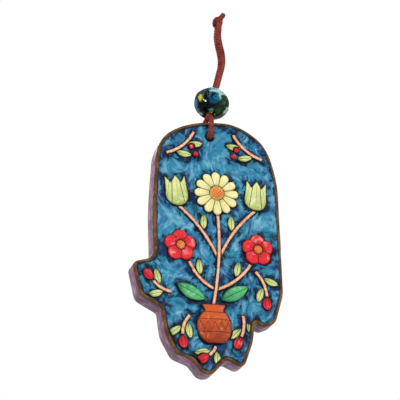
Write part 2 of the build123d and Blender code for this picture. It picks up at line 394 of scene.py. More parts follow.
# Plaque, in millimetres
plaqueLook = {
    "voxel": 0.45, "smooth": {"factor": 0.4, "iterations": 2}, "unevenness": 0.05,
    "lumps": ((90, 1), (260, 0.5)), "wallLean": 0.2, "wallBehind": -3.0, "holeAway": 4.0,
    "insetReach": 12.0, "inkReach": 6.0, "borderWidth": 1.7, "blotch": (130, 4, 1.4),
    "skinScale": 260.0, "skinBump": (0.05, 0.5), "rough": (0.3, 0.7, 0.3, 0.46), "specular": 0.1,
    "ground": {
        "wash": {"Scale": 75.0, "Deep": srgb(10, 34, 62), "Middle": srgb(42, 118, 148),
                 "Pale": srgb(110, 170, 192)},
        "swirl": (48, 34), "motifPool": (0.2, 3.6, 1, 0), "motifPatch": (0.36, 0.6, 0.26, 0.02),
        "borderPool": (1.7, 6.5, 0.16, 0), "borderPatch": (0.4, 0.62, 0.15, 1),
        "violet": srgb(34, 66, 128), "violetMarks": ((190, 3, 1), (0.5, 0.64, 0, 0.52)),
        "streak": srgb(122, 176, 200), "streakReach": (0.6, 2.6, 0.15, 1),
        "streakMarks": ((270, 2.5, 0.8, (1, 1, 0.4)), (0.5, 0.68, 0, 0.5)),
        "smearMarks": ((210, 4, 1.8, (1, 1, 0.6)), (0.55, 0.62)), "smearReach": (0.8, 3.4, 0.92, 0),
        "line": {"Width": 0.22, "Uneven": 2.6, "Scale": 300.0, "Share": 0.94},
        "edging": {"Width": 0.0, "Uneven": 3.0, "Scale": 170.0, "Share": 0.85},
    },
    "border": {
        "gold": srgb(112, 78, 36), "dark": srgb(68, 46, 24), "tone": ((330, 4), (0.35, 0.65)),
        "bare": 0.65, "fade": 0.25, "wobbleCloud": (240, 3), "wobble": 0.9,
    },
    "wall": {
        "wash": {"Scale": 70.0, "Deep": srgb(98, 36, 84), "Middle": srgb(128, 80, 110),
                 "Pale": srgb(156, 132, 144), "Pool": 0.03},
        "stretch": (1, 3.5, 1), "drift": 7.0, "grey": srgb(130, 119, 123), "greyDepth": (5, 8.6, 0, 0.75),
        "blue": srgb(60, 76, 116), "blueMarks": ((210, 3, 1), (0.54, 0.64)),
        "blueDepth": (1, 5, 0.8, 0), "strokes": (230, 3, 0.8),
        "violet": srgb(118, 34, 98), "violetShare": (0.52, 0.63, 0, 0.65),
        "slip": srgb(188, 160, 174), "slipShare": (0.37, 0.48, 0.6, 0),
        "dark": srgb(54, 37, 40), "darkFront": (0.7, 2.2, 0.85, 0), "darkBack": (8.7, 9.6, 0, 0.2),
        # painted shade in patches on the walls that face down
        "paintedUnderShade": srgb(62, 48, 56), "paintedUnderShadeMarks": ((190, 5, 1.2), (0.4, 0.62, 0.06, 0.75)),
        "paintedUnderShadeFacing": (0.1, 0.8),
        "insetEdge": (0.95, 1.05, 1, 0), "frontEdge": (0.3, 0.62), "backEdge": (9, 9.3),
    },
    "clay": {
        "light": srgb(216, 203, 182), "deep": srgb(196, 178, 156),
        "tone": ((160, 8, 0.4, None, 0.7), (0.3, 0.7)),
        "speck": srgb(140, 112, 92), "speckMarks": ((1500, 2), (0.66, 0.72, 0, 0.6)),
        "smudge": (0.48, 0.66, 0, 0.7), "smudgeReach": (2, 7, 1, 0),
        "depthEdge": (9.55, 9.9), "insetEdge": (0.6, 1.2), "rough": 0.8,
    },
}


def groundPaint(tree, coords, blotch, inset, motifGap):
    look = plaqueLook["ground"]
    # darker where the paint pools, near the motifs and the border
    nearMotif = times(tree, ramp(tree, motifGap, *look["motifPool"]), ramp(tree, blotch, *look["motifPatch"]))
    nearBorder = times(tree, ramp(tree, inset, *look["borderPool"]), ramp(tree, blotch, *look["borderPatch"]))
    pool = plus(tree, nearMotif, nearBorder)
    brushed = swirled(tree, coords, *look["swirl"])
    washed = useGroup(tree, brushWash, Vector=brushed, Pool=pool, **look["wash"])["Color"]
    # strokes of a more violet blue, and pale streaks over them
    washed = blend(tree, mottle(tree, brushed, *look["violetMarks"]), washed, look["violet"])
    streaks = mottle(tree, brushed, *look["streakMarks"])
    streaks = times(tree, streaks, ramp(tree, motifGap, *look["streakReach"]))
    washed = blend(tree, streaks, washed, look["streak"])
    # ink drawn and smeared round the motifs, and drawn along the border
    line = useGroup(tree, handInk, Vector=coords, Gap=motifGap, **look["line"])["Mask"]
    smear = mottle(tree, coords, *look["smearMarks"])
    smear = times(tree, smear, ramp(tree, motifGap, *look["smearReach"]))
    inked = math2(tree, "MAXIMUM", line, smear)
    beside = math2(tree, "SUBTRACT", inset, plaqueLook["borderWidth"])
    edging = useGroup(tree, handInk, Vector=coords, Gap=beside, **look["edging"])["Mask"]
    return blend(tree, math2(tree, "MAXIMUM", inked, edging), washed, inkLook["colour"])


def borderPaint(tree, coords, edge, ground):
    # brown gold with a brushed edge
    look = plaqueLook["border"]
    painted = plaqueLook["borderWidth"] - look["bare"]
    mask = ramp(tree, edge, painted, painted + look["fade"], 1.0, 0.0)
    border = blend(tree, mottle(tree, coords, *look["tone"]), look["dark"], look["gold"])
    return blend(tree, mask, ground, border)


def wallPaint(tree, coords, blotch, depth):
    # a mauve wash, greyer towards the back and blue in places
    look = plaqueLook["wall"]
    banded = stretched(tree, coords, look["stretch"])
    wall = useGroup(tree, brushWash, Vector=banded, **look["wash"])["Color"]
    deepness = plus(tree, depth, centred(tree, blotch, look["drift"]))
    wall = blend(tree, ramp(tree, deepness, *look["greyDepth"]), wall, look["grey"])
    touches = mottle(tree, coords, *look["blueMarks"])
    touches = times(tree, touches, ramp(tree, deepness, *look["blueDepth"]))
    wall = blend(tree, touches, wall, look["blue"])
    # strokes of strong violet, and of pale slip, along the edge
    strokes = cloud(tree, banded, *look["strokes"])
    wall = blend(tree, ramp(tree, strokes, *look["violetShare"]), wall, look["violet"])
    wall = blend(tree, ramp(tree, strokes, *look["slipShare"]), wall, look["slip"])
    # dark beside the border and the back, and painted shade in patches where it faces down
    wall = blend(tree, ramp(tree, deepness, *look["darkFront"]), wall, look["dark"])
    wall = blend(tree, ramp(tree, depth, *look["darkBack"]), wall, look["dark"])
    # painted shade: a darker grey laid in patches on the faces that point downward
    paintedUnderShade = mottle(tree, coords, *look["paintedUnderShadeMarks"])
    paintedUnderShade = times(tree, paintedUnderShade, ramp(tree, stored(tree, "under"), *look["paintedUnderShadeFacing"]))
    return blend(tree, paintedUnderShade, wall, look["paintedUnderShade"])


def backClay(tree, coords, blotch, inset):
    # bare fired clay, smudged with the wall's paint near its edge
    look = plaqueLook["clay"]
    clay = blend(tree, mottle(tree, coords, *look["tone"]), look["deep"], look["light"])
    clay = blend(tree, mottle(tree, coords, *look["speckMarks"]), clay, look["speck"])
    smudge = times(tree, ramp(tree, blotch, *look["smudge"]), ramp(tree, inset, *look["smudgeReach"]))
    return blend(tree, smudge, clay, plaqueLook["wall"]["wash"]["Middle"])


def plaqueMaterial():
    look = plaqueLook
    border, wall, clay = look["border"], look["wall"], look["clay"]
    material, tree, shader, coords = newMaterial("plaqueGlaze")
    inset = stored(tree, "inset")
    motifGap = stored(tree, "motifGap")
    depth = stored(tree, "depth")
    blotch = cloud(tree, coords, *look["blotch"])
    edge = plus(tree, inset, centred(tree, cloud(tree, coords, *border["wobbleCloud"]), border["wobble"]))
    colour = borderPaint(tree, coords, edge, groundPaint(tree, coords, blotch, inset, motifGap))
    onWall = times(tree, ramp(tree, inset, *wall["insetEdge"]), ramp(tree, depth, *wall["frontEdge"]))
    onWall = math2(tree, "MAXIMUM", onWall, ramp(tree, depth, *wall["backEdge"]))
    colour = blend(tree, onWall, colour, wallPaint(tree, coords, blotch, depth))
    onBack = times(tree, ramp(tree, depth, *clay["depthEdge"]), ramp(tree, edge, *clay["insetEdge"]))
    colour = blend(tree, onBack, colour, backClay(tree, coords, blotch, inset))
    skin = useGroup(tree, glazeSkin, Vector=coords, Scale=look["skinScale"])
    rough = ramp(tree, skin["Polish"], *look["rough"])
    wire(tree, shader, {
        "Base Color": colour, "Roughness": math2(tree, "MAXIMUM", rough, times(tree, onBack, clay["rough"])),
        "Normal": bump(tree, skin["Height"], *look["skinBump"]), "Specular IOR Level": look["specular"],
    })
    return material


def plaqueWall(face, mesh):
    # the outer wall: upright faces that reach behind the ground, away from the hole
    look = plaqueLook
    if abs(face.normal.y) > look["wallLean"]:
        return False
    behind = max(mesh.vertices[i].co.y for i in face.vertices) > look["wallBehind"] * mm
    away = (Vector((face.center.x, 0, face.center.z)) - holeCentre).length > look["holeAway"] * mm
    return behind and away


def makePlaque(motifs):
    look = plaqueLook
    piece = copyNode("plaque", "handPlaque")
    resurface(piece, look)
    places = points(piece)
    facing = normals(piece)
    lumps = [sum(high * noise.noise(Vector(p) * scale) for scale, high in look["lumps"]) for p in places]
    places += facing * (np.array(lumps) * look["unevenness"] * mm)[:, None]
    movePoints(piece, places)
    # for the paint: how far in from the edge, how far back, how much it faces down (for the painted shade), how
    # far from a motif
    keep(piece, inset=flatGaps(flatTree(["plaque"], plaqueWall), places, look["insetReach"]))
    keep(piece, depth=(places[:, 1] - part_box("plaque")[0].y) / mm, under=unit(-facing[:, 2]))
    keep(piece, motifGap=flatGaps(flatTree(motifs, lambda face, mesh: True), places, look["inkReach"]))
    finishPiece(piece, plaqueMaterial(), "plaque", "plaque", "plaque")
    print("plaque,", len(piece.data.polygons), "faces")


# Applied relief, in millimetres
reliefLook = {
    "voxel": 0.2, "smooth": {"factor": 0.5, "iterations": 3}, "sideLean": 0.3, "rimFurthest": 8.0,
    "rimHold": 0.7, "foot": 0.08, "sink": 0.35,
    # each paint's own tone, its darker wash and its painted highlight
    "paints": {
        "yellow": ((221, 214, 152), (180, 166, 96), (240, 236, 202)),
        "pale": ((206, 212, 142), (142, 160, 84), (232, 234, 188)),
        "green": ((84, 172, 108), (36, 112, 72), (142, 206, 150)),
        "red": ((212, 44, 52), (150, 18, 32), (240, 178, 172)),
        "orange": ((220, 132, 60), (164, 66, 32), (240, 190, 120)),
        "brown": ((190, 84, 42), (116, 40, 22), (220, 134, 84)),
        "stem": ((238, 198, 166), (196, 138, 106), (248, 224, 202)),
    },
    "toneShare": 0.55, "patchCloud": (420, 4, 0.6), "patchShare": 0.5, "edgeShade": (0.1, 1, 0.3, 0),
    "wash": (0.3, 0.95), "paintedGleamMarks": ((300, 3, 0.8), (0.5, 0.72, 0, 0.6)), "paintedGleamRim": (0.3, 1.1),
    "ring": {"Width": 0.06, "Uneven": 0.7, "Scale": 600.0, "Share": 0.9}, "drawn": (0.45, 0.8, 0, 0.85),
    "skinScale": 420.0, "skinBump": (0.04, 0.5), "rough": (0.3, 0.7, 0.28, 0.42), "specular": 0.1,
}


def reliefMaterial(paint):
    look = reliefLook
    own, deep, light = (srgb(*tone) for tone in look["paints"][paint])
    material, tree, shader, coords = newMaterial(paint + "Enamel")
    rim = stored(tree, "rim")
    patches = times(tree, cloud(tree, coords, *look["patchCloud"]), look["patchShare"])
    share = plus(tree, times(tree, stored(tree, "tone"), look["toneShare"]), patches)
    share = plus(tree, share, ramp(tree, rim, *look["edgeShade"]))
    colour = blend(tree, ramp(tree, share, *look["wash"]), own, deep)
    # painted highlight: a paler colour in patches, away from the rim
    paintedGleam = times(tree, mottle(tree, coords, *look["paintedGleamMarks"]), ramp(tree, rim, *look["paintedGleamRim"]))
    colour = blend(tree, paintedGleam, colour, light)
    # ink round the rim and in the grooves
    ring = useGroup(tree, handInk, Vector=coords, Gap=rim, **look["ring"])["Mask"]
    drawn = ramp(tree, stored(tree, "groove"), *look["drawn"])
    colour = blend(tree, math2(tree, "MAXIMUM", ring, drawn), colour, inkLook["colour"])
    skin = useGroup(tree, glazeSkin, Vector=coords, Scale=look["skinScale"])
    wire(tree, shader, {
        "Base Color": colour, "Roughness": ramp(tree, skin["Polish"], *look["rough"]),
        "Normal": bump(tree, skin["Height"], *look["skinBump"]), "Specular IOR Level": look["specular"],
    })
    return material


def longAxis(flat):
    # each point's place along and across a slim piece, half its length and width, and its direction
    centre = flat.mean(0)
    along = np.linalg.eigh(np.cov((flat - centre).T))[1][:, 1]
    across = np.array((-along[1], along[0]))
    runs = (flat - centre) @ along
    wide = (flat - centre) @ across
    middle = centre + along * (runs.max() + runs.min()) / 2 + across * (wide.max() + wide.min()) / 2
    halves = (runs.max() - runs.min()) / 2, (wide.max() - wide.min()) / 2
    return (flat - middle) @ along, (flat - middle) @ across, *halves, along


def ditch(gap, width):
    return np.exp(-((gap / width) ** 2))


# each form gives a lift in millimetres, where ink lies in its grooves, and its tone from end to end
def leafForm(flat, look):
    run, side, half, wide, _ = longAxis(flat)
    rib = ditch(side, look["ribWide"])
    slant = run * look["veinRun"] - np.abs(side) * look["veinSlant"]
    veins = ditch(np.mod(slant, look["veinStep"]) - look["veinStep"] / 2, look["veinWide"])
    veins *= (np.abs(side) > look["veinFrom"]) * (np.abs(side) < look["veinTo"] * wide)
    lift = -look["ribDeep"] * rib - look["veinDeep"] * veins
    return lift, rib * look["ribInk"] + veins * look["veinInk"], unit(0.5 + run / half / 2)


def stemForm(flat, look):
    knots = np.array([noise.noise(Vector((x, 0, z))) for x, z in flat * look["knotScale"]])
    return look["knotLift"] * knots, np.zeros(len(flat)), unit(0.5 + 0.5 * knots)


def petalForm(flat, look):
    at = flat - look["centre"]
    radius = np.hypot(at[:, 0], at[:, 1])
    each = 360 / look["petals"]
    turn = (np.degrees(np.arctan2(at[:, 1], at[:, 0])) - 90) / each
    off = np.abs(turn - np.round(turn))
    sideways = np.radians(off * each) * radius
    border = np.radians((0.5 - off) * each) * radius
    crease = ditch(border, look["creaseWide"]) * (radius > look["heart"])
    line = ditch(sideways, look["lineWide"]) * (radius > look["heart"] + look["lineStart"])
    line *= radius < look["reach"] - look["lineEnd"]
    puff = unit(1 - (sideways / look["half"]) ** 2)
    lift = look["puff"] * puff - look["creaseDeep"] * crease - look["lineDeep"] * line
    ink = crease * look["creaseInk"] + line * look["lineInk"]
    return lift, ink, unit(1 - radius / look["reach"])


def heartForm(flat, look):
    at = (flat - look["centre"]) * look["dotTurn"]
    dots = np.cos(at[:, 0]) * np.cos(at[:, 1])
    return look["dotLift"] * dots, unit(-dots) * look["dotInk"], unit(0.5 - 0.5 * dots)


def tulipForm(flat, look):
    run, side, half, wide, along = longAxis(flat)
    upward = -1 if along[1] < 0 else 1
    run = run * upward / half
    side = side * upward / wide
    seamAt = look["seam"] - look["seamLean"] * run
    off = np.abs(side)
    crease = ditch((off - seamAt) * wide, look["creaseWide"]) * (run > look["creaseFrom"])
    inner = ditch((off - seamAt * look["innerAt"]) * wide, look["innerWide"]) * (run > look["innerFrom"])
    centreLine = ditch(side * wide, look["centreWide"])
    centreLine *= (run > look["centreFrom"]) * (run < look["centreTo"])
    puff = np.cos(side / np.maximum(seamAt, look["seamLeast"]) * np.pi / 2) * (off < seamAt)
    lift = look["puff"] * puff - look["creaseDeep"] * crease
    lift = lift - look["innerDeep"] * inner - look["centreDeep"] * centreLine
    ink = np.maximum(crease, look["innerInk"] * np.maximum(inner, centreLine))
    return lift, ink, unit(0.5 - run / 2)


def vaseForm(flat, look):
    low, high = flat.min(0), flat.max(0)
    rise = (flat[:, 1] - low[1]) / (high[1] - low[1])
    side = flat[:, 0] - (low[0] + high[0]) / 2
    bands = np.zeros(len(flat))
    for level in look["bands"]:
        bands = np.maximum(bands, ditch((rise - level) * (high[1] - low[1]), look["bandWide"]))
    foot, head = look["bands"][:2]
    zigzag = np.abs(np.mod(side / look["zigzag"], 2) - 1)
    gap = (rise - foot) / (head - foot) - look["zigFoot"] - look["zigTall"] * zigzag
    zig = ditch(gap * look["zigHeight"], look["zigWide"]) * (rise > foot) * (rise < head)
    lift = -look["bandDeep"] * bands - look["zigDeep"] * zig
    return lift, np.maximum(bands, zig) * look["ink"], unit(1 - rise)


def berryForm(flat, look):
    run, _, half, _, _ = longAxis(flat)
    plain = np.zeros(len(flat))
    return plain, plain, unit(0.5 + run / half / 2)


def budForm(flat, look):
    run, side, half, wide, _ = longAxis(flat)
    bulge = unit(1 - (run / half) ** 2)
    folds = ditch(np.abs(side) - look["foldAt"] * bulge * wide, look["foldWide"])
    return -look["foldDeep"] * folds, look["foldInk"] * folds, unit(0.5 + run / half / 2)


petalCut = {"creaseWide": 0.28, "creaseDeep": 0.35, "creaseInk": 0.9, "lineWide": 0.22, "lineStart": 0.4}
leafCut = {
    "ribWide": 0.2, "ribDeep": 0.3, "ribInk": 0.95, "veinRun": 0.9, "veinSlant": 0.8, "veinWide": 0.14,
    "veinDeep": 0.12, "veinFrom": 0.3, "veinTo": 0.8,
}
# the paint, the form and the form's sizes, for each kind of relief
reliefKinds = {
    "daisy": ("yellow", petalForm, {
        "petals": 12, "heart": 3.3, "reach": 10.0, "half": 1.9, "puff": 0.35, "lineDeep": 0.16,
        "lineInk": 0.6, "lineEnd": 2.4, **petalCut}),
    "poppy": ("red", petalForm, {
        "petals": 5, "heart": 2.0, "reach": 7.1, "half": 3.4, "puff": 0.55, "lineDeep": 0.2,
        "lineInk": 0.55, "lineEnd": 2.8, **petalCut}),
    "heart": ("orange", heartForm, {"dotTurn": 4.6, "dotLift": 0.14, "dotInk": 0.75}),
    "tulip": ("pale", tulipForm, {
        "seam": 0.44, "seamLean": 0.16, "seamLeast": 0.2, "puff": 0.3, "creaseWide": 0.22, "creaseDeep": 0.35,
        "creaseFrom": -0.75, "innerAt": 1.75, "innerWide": 0.18, "innerDeep": 0.2, "innerFrom": -0.6,
        "innerInk": 0.8, "centreWide": 0.2, "centreDeep": 0.18, "centreFrom": -0.45, "centreTo": 0.7}),
    "vase": ("brown", vaseForm, {
        "bands": (0.3, 0.62, 0.8), "bandWide": 0.22, "bandDeep": 0.25, "zigzag": 1.5, "zigFoot": 0.15,
        "zigTall": 0.7, "zigHeight": 3.4, "zigWide": 0.3, "zigDeep": 0.15, "ink": 0.95}),
    "broad": ("green", leafForm, {"veinStep": 2.0, "veinInk": 0.8, **leafCut}),
    "leaf": ("pale", leafForm, {"veinStep": 1.5, "veinInk": 0.35, **leafCut}),
    "bud": ("red", budForm, {"foldAt": 0.42, "foldWide": 0.2, "foldDeep": 0.25, "foldInk": 0.9}),
    "berry": ("red", berryForm, {}),
    "stem": ("stem", stemForm, {"knotScale": 0.8, "knotLift": 0.12}),
}


def makeRelief(node, materials):
    look = reliefLook
    paint, form, sizes = reliefKinds["heart" if node.endswith("_heart") else node.split("_")[0]]
    low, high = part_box(node)
    piece = copyNode(node, node + "_relief")
    resurface(piece, look)
    places = points(piece)
    facing = unit(-normals(piece)[:, 1]) ** 2
    sides = flatTree([node], lambda face, mesh: abs(face.normal.y) < look["sideLean"])
    rim = flatGaps(sides, places, look["rimFurthest"])
    middle = (low + high) / 2 / mm
    lift, groove, tone = form(places[:, [0, 2]] / mm, dict(sizes, centre=np.array((middle.x, middle.z))))
    # the form fades out towards the rim, and the foot sinks into the ground
    places[:, 1] -= lift * facing * unit(rim / look["rimHold"]) * mm
    places[places[:, 1] > high.y - look["foot"] * mm, 1] += look["sink"] * mm
    movePoints(piece, places)
    keep(piece, rim=rim, groove=groove, tone=tone)
    finishPiece(piece, materials[paint], "plaque", "relief_" + paint, node)
    return piece


motifs = [node for node in frame["record"]["behaviour"]["bodies"]["plaque"] if node != "plaque"]
reliefMaterials = {paint: reliefMaterial(paint) for paint in reliefLook["paints"]}
reliefs = [makeRelief(node, reliefMaterials) for node in motifs]
print(len(reliefs), "relief pieces,", sum(len(piece.data.polygons) for piece in reliefs), "faces")
makePlaque(motifs)


# Bead, in millimetres
beadLook = {
    "diameter": 16.0, "height": 14.0, "bore": 5.2, "mouth": 0.5, "mouthShare": 0.6, "boreEnds": (0.93, 0),
    "section": 160, "turns": 200, "merge": 0.01, "lumps": 0.1, "outer": 1.3,
    "base": srgb(4, 6, 10), "blur": 5.0, "waves": ((2.6, 0.08), (7, 0.1)), "seed": 1,
    "streakMarks": ((330, 4, 2.6), (0.56, 0.64, 0, 0.7)), "polishMarks": ((500, 2), (0.3, 0.7, 0.03, 0.07)),
    "rippleCloud": (160, 1), "ripple": (0.1, 0.12), "specular": 0.05,
    # patches of run glaze: place across and up as the photo shows the bead, half width in degrees, colour
    "front": [
        (0.4, 0.62, 31, (150, 190, 176)), (0.05, 0.9, 15, (96, 156, 176)), (0.6, 0.55, 17, (150, 178, 168)),
        (0.7, 0.3, 12, (24, 48, 32)), (0.12, 0.28, 20, (8, 66, 92)), (0.26, 0.3, 9, (20, 100, 130)),
        (0.06, 0.42, 6, (6, 12, 24)), (-0.62, 0.3, 12, (98, 112, 40)), (-0.64, 0.31, 8, (196, 190, 78)),
        (-0.92, -0.04, 16, (60, 106, 132)), (-0.86, -0.36, 12, (50, 110, 128)),
        (-0.6, -0.7, 13, (120, 180, 164)), (-0.28, -0.86, 14, (96, 168, 148)),
        (0.62, -0.06, 17, (18, 40, 24)), (0.7, 0.02, 7, (44, 76, 40)), (0.52, -0.16, 6, (30, 58, 30)),
        (0.36, -0.52, 24, (16, 36, 22)), (0.4, -0.46, 11, (34, 62, 30)), (0.46, -0.56, 5, (60, 92, 48)),
        (-0.02, -0.5, 9, (70, 150, 128)), (0.02, -0.66, 11, (206, 220, 150)), (0.1, -0.58, 9, (12, 28, 18)),
        (0.84, -0.42, 12, (136, 160, 150)), (-0.3, 0.74, 12, (20, 50, 66)), (-0.5, 0.56, 8, (58, 74, 96)),
    ],
    # and on the far side, way round and up in degrees
    "far": [
        (110, -30, 30, (24, 66, 40)), (122, 32, 28, (20, 88, 116)), (160, 0, 30, (120, 182, 166)),
        (196, -42, 26, (30, 60, 36)), (212, 34, 30, (16, 60, 96)), (224, 0, 18, (182, 188, 84)),
        (262, 44, 20, (150, 198, 182)), (246, -16, 14, (8, 12, 20)), (150, 56, 16, (196, 200, 96)),
        (136, -8, 9, (214, 222, 150)), (180, -74, 22, (60, 140, 126)), (150, 78, 18, (18, 54, 84)),
    ],
}


def beadMaterial():
    look = beadLook
    material, tree, shader, coords = newMaterial("beadGlaze")
    colour = stored(tree, "glaze", "Color")
    ripples = cloud(tree, coords, *look["rippleCloud"])
    wire(tree, shader, {
        "Base Color": blend(tree, mottle(tree, coords, *look["streakMarks"]), colour, look["base"]),
        "Roughness": mottle(tree, coords, *look["polishMarks"]),
        "Normal": bump(tree, ripples, *look["ripple"]), "Specular IOR Level": look["specular"],
    })
    return material


def beadSection():
    look = beadLook
    deselectAll()
    bpy.ops.mesh.primitive_circle_add(vertices=look["section"], radius=1.0, rotation=(math.pi / 2, 0, 0))
    piece = bpy.context.object
    piece.scale = (look["diameter"] / 2 * mm, look["height"] / 2 * mm, 1)
    bpy.ops.object.transform_apply(location=False, rotation=True, scale=True)
    # keep the section's outer half, and run its ends down the bore
    bore = (look["bore"] / 2 + look["mouth"] * look["mouthShare"]) * mm
    setMode("EDIT")
    bpy.ops.mesh.select_all(action="DESELECT")
    setMode("OBJECT")
    for vertex in piece.data.vertices:
        vertex.select = vertex.co.x < bore
    setMode("EDIT")
    bpy.ops.mesh.delete(type="VERT")
    setMode("OBJECT")
    ends = sorted(piece.data.vertices, key=lambda v: v.co.x)[:2]
    for share in look["boreEnds"]:
        for vertex in piece.data.vertices:
            vertex.select = vertex.index in [end.index for end in ends]
        setMode("EDIT")
        bpy.ops.mesh.extrude_region_move()
        setMode("OBJECT")
        ends = [vertex for vertex in piece.data.vertices if vertex.select]
        tall = max(abs(vertex.co.z) for vertex in ends)
        for vertex in ends:
            vertex.co.x = look["bore"] / 2 * mm
            vertex.co.z = math.copysign(tall * share, vertex.co.z)
    return piece


def makeBead():
    look = beadLook
    piece = beadSection()
    piece.name = "glazedBead"
    editAll(piece)
    bpy.ops.mesh.spin(steps=look["turns"], angle=2 * math.pi, center=(0, 0, 0), axis=(0, 0, 1))
    bpy.ops.mesh.select_all(action="SELECT")
    bpy.ops.mesh.remove_doubles(threshold=look["merge"] * mm)
    bpy.ops.mesh.normals_make_consistent(inside=False)
    setMode("OBJECT")
    low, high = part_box("bead")
    centre = (low + high) / 2
    axis = Vector(joints["bead_slide"]["axis"])
    piece.matrix_world = Matrix.Translation(centre) @ Matrix.Rotation(math.atan2(axis.x, axis.z), 4, "Y")
    pick(piece)
    bpy.ops.object.transform_apply(location=True, rotation=True, scale=True)
    paintBead(piece, np.array(centre), np.array(axis))
    finishPiece(piece, beadMaterial(), "bead", "bead", "bead")
    print("bead,", len(piece.data.polygons), "faces")
    return piece


def paintBead(piece, centre, axis):
    look = beadLook
    right, up, back = photoAxes()
    patches = []
    for x, z, half, colour in look["front"]:
        patches.append((right * x + up * z + back * math.sqrt(max(1 - x * x - z * z, 0)), half, colour))
    for turn, rise, half, colour in look["far"]:
        patches.append((wayTo(turn, rise), half, colour))
    places = points(piece)
    ways = places - centre
    ways /= np.linalg.norm(ways, axis=1)[:, None]
    # the same wavering outlines each run
    noise.seed_set(look["seed"])
    wander = [sum((noise.noise_vector(Vector(w) * s) * r for s, r in look["waves"]), Vector()) for w in ways]
    bent = ways + np.array([tuple(w) for w in wander])
    bent /= np.linalg.norm(bent, axis=1)[:, None]
    colours = np.ones((len(places), 4))
    colours[:, :3] = look["base"]
    lift = np.zeros(len(places))
    for aim, half, colour in patches:
        gap = np.degrees(np.arccos(np.clip(bent @ np.array(aim.normalized()), -1, 1))) - half
        share = unit(0.5 - gap / look["blur"])[:, None]
        colours[:, :3] = colours[:, :3] * (1 - share) + np.array(srgb(*colour)) * share
        lift = np.maximum(lift, share[:, 0])
    attribute = piece.data.attributes.new("glaze", "FLOAT_COLOR", "POINT")
    attribute.data.foreach_set("color", colours.astype(np.float32).ravel())
    # the bore and its mouths stay as they are
    along = (places - centre) @ axis
    outward = np.linalg.norm(places - centre - along[:, None] * axis, axis=1)
    outer = outward > look["bore"] / 2 * mm * look["outer"]
    places += normals(piece) * (lift * outer * look["lumps"] * mm)[:, None]
    movePoints(piece, places)


glazedBead = makeBead()


# Cord, in millimetres
cordLook = {
    "diameter": 2.4, "shown": 2.46, "sides": 30, "step": 0.2, "plies": 4, "plyTurn": 5.2, "plyDepth": 0.22,
    "fuzz": 0.06, "fuzzAlong": 1.6, "fuzzAround": 2, "fuzzApart": 9, "endRound": 0.5, "endLeast": 0.05,
    "pair": 1.24, "curveSteps": 12, "curveOrder": 3,
    # front half of the route from the hole's centre: through the hole, up the face, over the rim
    "low": [(0, 0, 0.6), (0, -2.6, 0.6), (0, -6.4, 0.62), (0.08, -6.4, 4.2), (0.43, -6.6, 8.95)],
    # then both strands together, through the bead and on: across, up, and how far they part sideways
    "upper": [(0.5, 10.3, 0), (1.05, 12.06, 0), (6.9, 32, 0.22), (9.4, 40.6, 0.25), (7.15, 51.6, 0.2),
              (8.05, 57.2, 0.2)],
    # the front half winds round the back half, which passes a little behind the knot's middle
    "knot": (7.95, 60), "knotLean": 14.0, "turns": 2, "turnPoints": 12, "turnWide": 1.15, "turnDeep": 2.1,
    "turnRise": 2.0, "knotBack": 0.3,
    # the tails, with the share of their length and of the pair's spacing at each point
    "tailLean": 33.5, "tailLength": 5.2, "tailStep": 0.6, "tailPoints": ((0.6, 0.85), (1, 1)),
    "holeMouth": 5, "flexAbove": 0.5, "flexBelow": 1.8,
    "colour": srgb(148, 66, 58), "deep": srgb(80, 23, 24), "worn": srgb(182, 110, 92),
    "yarnAlong": 2.6, "yarnAround": 9.0, "fibreCloud": (2600, 4, 0.4), "patchCloud": (260, 4),
    "patchShare": 0.7, "fibreShare": 0.5, "tone": (0.42, 0.7), "wornShare": (0.54, 0.68, 0, 0.7),
    # the seam is painted shade along the grooves between the plies
    "seam": (0, 0.6, 0.85, 0), "rough": (0.3, 0.7, 0.82, 0.95), "yarnHigh": 0.3, "fibreHigh": 1.2,
    "yarnBump": (0.06, 0.8), "specular": 0.02, "sheen": 0.02, "sheenRough": 0.6,
}


def cordMaterial():
    look = cordLook
    material, tree, shader, coords = newMaterial("cottonCord")
    along = times(tree, stored(tree, "along"), look["yarnAlong"])
    around = times(tree, stored(tree, "around"), look["yarnAround"])
    yarn = math2(tree, "SINE", times(tree, plus(tree, along, around), 2 * math.pi), 0.0)
    fibres = cloud(tree, coords, *look["fibreCloud"])
    patches = cloud(tree, coords, *look["patchCloud"])
    share = plus(tree, times(tree, patches, look["patchShare"]), times(tree, fibres, look["fibreShare"]))
    colour = blend(tree, ramp(tree, share, *look["tone"]), look["deep"], look["colour"])
    colour = blend(tree, ramp(tree, fibres, *look["wornShare"]), colour, look["worn"])
    # painted shade: the deep colour laid along the grooves between the plies
    colour = blend(tree, ramp(tree, stored(tree, "ply"), *look["seam"]), colour, look["deep"])
    height = plus(tree, times(tree, yarn, look["yarnHigh"]), times(tree, fibres, look["fibreHigh"]))
    wire(tree, shader, {
        "Base Color": colour, "Roughness": ramp(tree, fibres, *look["rough"]),
        "Normal": bump(tree, height, *look["yarnBump"]), "Specular IOR Level": look["specular"],
        "Sheen Weight": look["sheen"], "Sheen Roughness": look["sheenRough"],
    })
    return material


